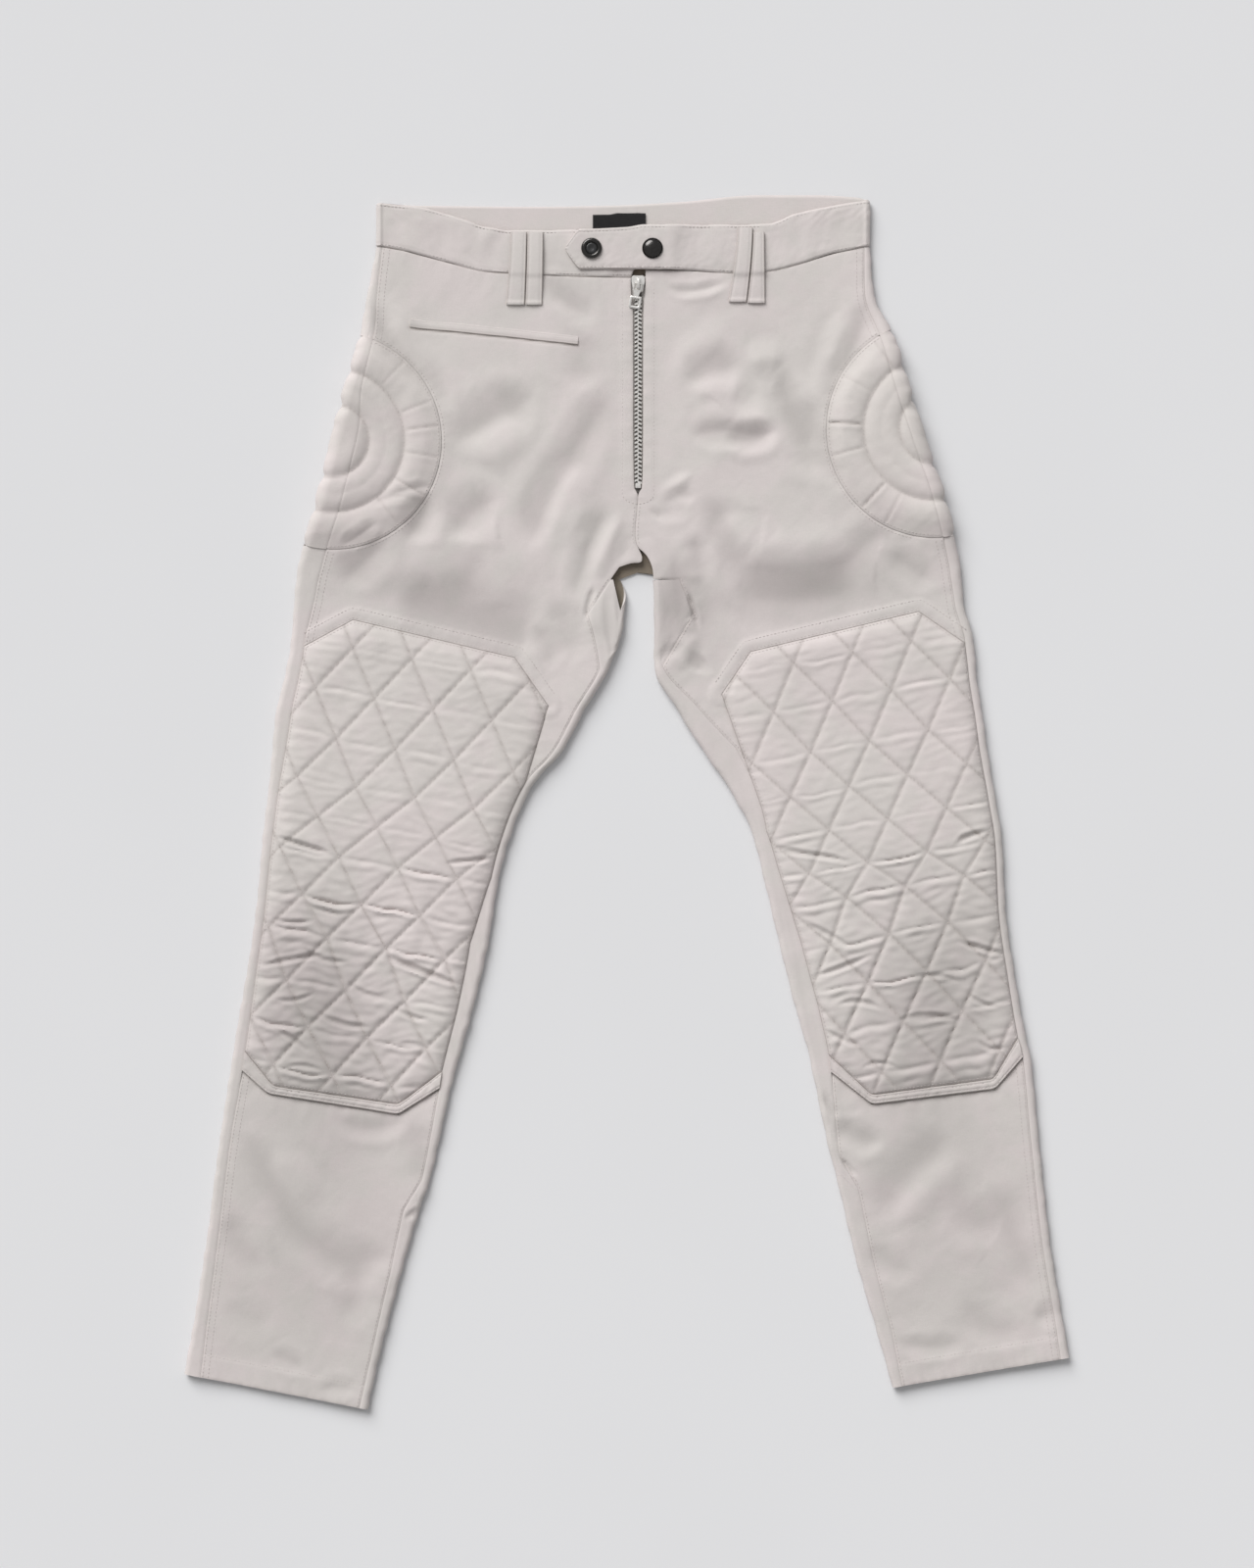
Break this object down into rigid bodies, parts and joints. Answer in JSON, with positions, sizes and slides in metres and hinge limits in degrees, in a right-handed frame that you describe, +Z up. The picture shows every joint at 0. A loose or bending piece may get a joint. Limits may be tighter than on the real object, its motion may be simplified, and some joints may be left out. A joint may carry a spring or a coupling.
{
  "type": "motocross pants",
  "caption": "Bone cotton motocross pants laid flat, with diamond-quilted knee panels, round padded hips, a snap waist tab and a metal front zip.",
  "frame": {"origin": "middle of the laid-out outline, on the surface it lies on", "axes": "+Y from the hems to the waistband, +Z up out of the front, +X towards the wearer's left"},
  "size_m": [0.7504, 1.0292, 0.0201],
  "materials": {
    "cotton": "matt woven cotton",
    "padded_cotton": "matt woven cotton over thin foam",
    "zip_tape": "matt woven tape",
    "label_tape": "satin woven label",
    "zip_metal": "polished nickel",
    "snap_metal": "dark polished gunmetal"
  },
  "bodies": {
    "trousers": {"back_left": "cotton", "back_right": "cotton", "belt_loop_left_inner": "cotton", "belt_loop_left_outer": "cotton", "belt_loop_right_inner": "cotton", "belt_loop_right_outer": "cotton", "front_left": "cotton", "front_right": "cotton", "hip_pad_left_back": "padded_cotton", "hip_pad_left_front": "padded_cotton", "hip_pad_right_back": "padded_cotton", "hip_pad_right_front": "padded_cotton", "inner_leg_left": "cotton", "inner_leg_right": "cotton", "knee_band_left": "cotton", "knee_band_right": "cotton", "knee_pad_left": "padded_cotton", "knee_pad_right": "padded_cotton", "label": "label_tape", "pocket_welt": "cotton", "shin_left": "cotton", "shin_right": "cotton", "snap_dome": "snap_metal", "snap_ring": "snap_metal", "waistband_left": "cotton", "waistband_right": "cotton", "zip_chain": "zip_metal", "zip_slider": "zip_metal", "zip_stop": "zip_metal", "zip_tape": "zip_tape"},
    "pull_tab": {"zip_pull_tab": "zip_metal"}
  },
  "joints": [
    {"name": "pull_tab_swing", "type": "hinge", "parent": "trousers", "child": "pull_tab", "pos_m": [0.0094, 0.4395, 0.0095], "axis": [-0.9877, 0.1564, 0], "range_deg": [0, 150]}
  ]
}
